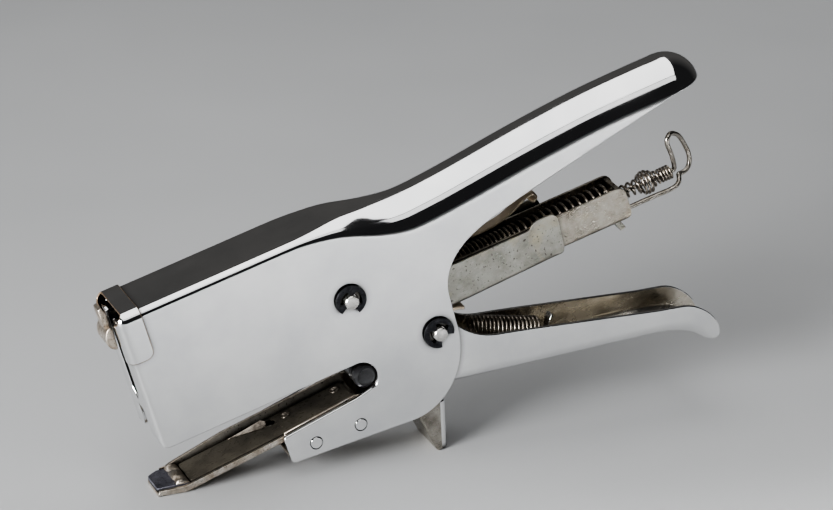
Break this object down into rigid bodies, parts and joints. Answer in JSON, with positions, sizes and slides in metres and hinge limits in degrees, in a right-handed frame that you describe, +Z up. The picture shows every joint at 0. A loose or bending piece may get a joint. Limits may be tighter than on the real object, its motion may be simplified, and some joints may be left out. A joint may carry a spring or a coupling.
{
  "type": "stapling plier",
  "caption": "Hand stapling plier: a chromed steel shell with upper handle and fixed anvil arm, a hinged lower handle that drives the staple, and a tilting magazine with a pull-wire follower.",
  "frame": {"origin": "on the supporting surface, below the middle of the bounding box, as the tool stands on its anvil heel and rear foot", "axes": "+X from the staple head towards the handle ends, +Y across the tool, +Z up"},
  "size_m": [0.1764, 0.0228, 0.1024],
  "materials": {
    "chrome": "mirror-bright plated pressed steel",
    "worn_nickel": "nickel plating worn to a satin, slightly brown grey",
    "blued_steel": "dark blued hardened steel",
    "dark_leaf": "dark olive-grey tempered strip",
    "bright_steel": "bright turned steel",
    "dark_steel": "dark unplated steel",
    "black_oxide": "black oxide",
    "spring_steel": "drawn spring wire with bright crowns",
    "plated_steel": "dull zinc-nickel plating with specks and scratches",
    "bronze_steel": "straw-tempered spring steel",
    "wire_steel": "bright drawn wire"
  },
  "bodies": {
    "frame": {"body_shell": "chrome", "front_cap": "chrome", "anvil_arm": "worn_nickel", "anvil_plate": "blued_steel", "jaw_leaf": "dark_leaf", "leaf_rivet_front": "bright_steel", "leaf_rivet_rear": "bright_steel", "limb_rivet_front_near": "chrome", "limb_rivet_front_far": "chrome", "limb_rivet_rear_near": "chrome", "limb_rivet_rear_far": "chrome", "limb_stiffener": "dark_steel", "rear_foot": "chrome", "throat_stop": "black_oxide", "front_pin": "bright_steel", "front_clip_near": "black_oxide", "front_clip_far": "black_oxide", "rear_pin": "bright_steel", "rear_clip_near": "black_oxide", "rear_clip_far": "black_oxide"},
    "lever": {"lower_handle": "chrome", "hammer_block": "dark_steel", "lever_spring": "spring_steel", "spring_anchor": "bright_steel"},
    "driver": {"driver_blade": "bright_steel", "driver_lug": "worn_nickel"},
    "magazine": {"magazine_sleeve": "plated_steel", "sleeve_tongue": "bronze_steel"},
    "catch": {"thumb_catch": "bronze_steel"},
    "channel": {"staple_channel": "plated_steel", "staple_rail": "dark_steel", "channel_end_plate": "plated_steel", "channel_lug": "plated_steel", "pusher_spring": "spring_steel"},
    "follower": {"pusher_block": "dark_steel", "pull_wire": "wire_steel", "ring_spring": "spring_steel"}
  },
  "joints": [
    {"name": "lever_squeeze", "type": "hinge", "parent": "frame", "child": "lever", "pos_m": [0.00411, 0, 0.03584], "axis": [0, -1, 0], "range_deg": [0, 11], "stiffness_Nm_per_rad": 1.5, "springref_deg": -17.19},
    {"name": "magazine_clamp", "type": "hinge", "parent": "frame", "child": "magazine", "pos_m": [0.00411, 0, 0.03584], "axis": [0, -1, 0], "range_deg": [0, 6.62]},
    {"name": "driver_stroke", "type": "slide", "parent": "frame", "child": "driver", "axis": [0.2756, 0, -0.9613], "range_m": [0, 0.0147]},
    {"name": "channel_slide", "type": "slide", "parent": "magazine", "child": "channel", "axis": [0.9613, 0, 0.2756], "range_m": [0, 0.04]},
    {"name": "follower_pull", "type": "slide", "parent": "channel", "child": "follower", "axis": [0.9613, 0, 0.2756], "range_m": [0, 0.06], "stiffness_N_per_m": 30, "springref_m": -0.05, "deforming": ["pusher_spring"]},
    {"name": "catch_press", "type": "hinge", "parent": "magazine", "child": "catch", "pos_m": [0.01571, 0, 0.05633], "axis": [0, 1, 0], "range_deg": [0, 4], "stiffness_Nm_per_rad": 0.3, "springref_deg": -2.86}
  ],
  "couplings": [
    {"joint": "magazine_clamp", "follows": "lever_squeeze", "ratio": 0.6},
    {"joint": "driver_stroke", "follows": "lever_squeeze", "m_per_rad": 0.0765}
  ]
}
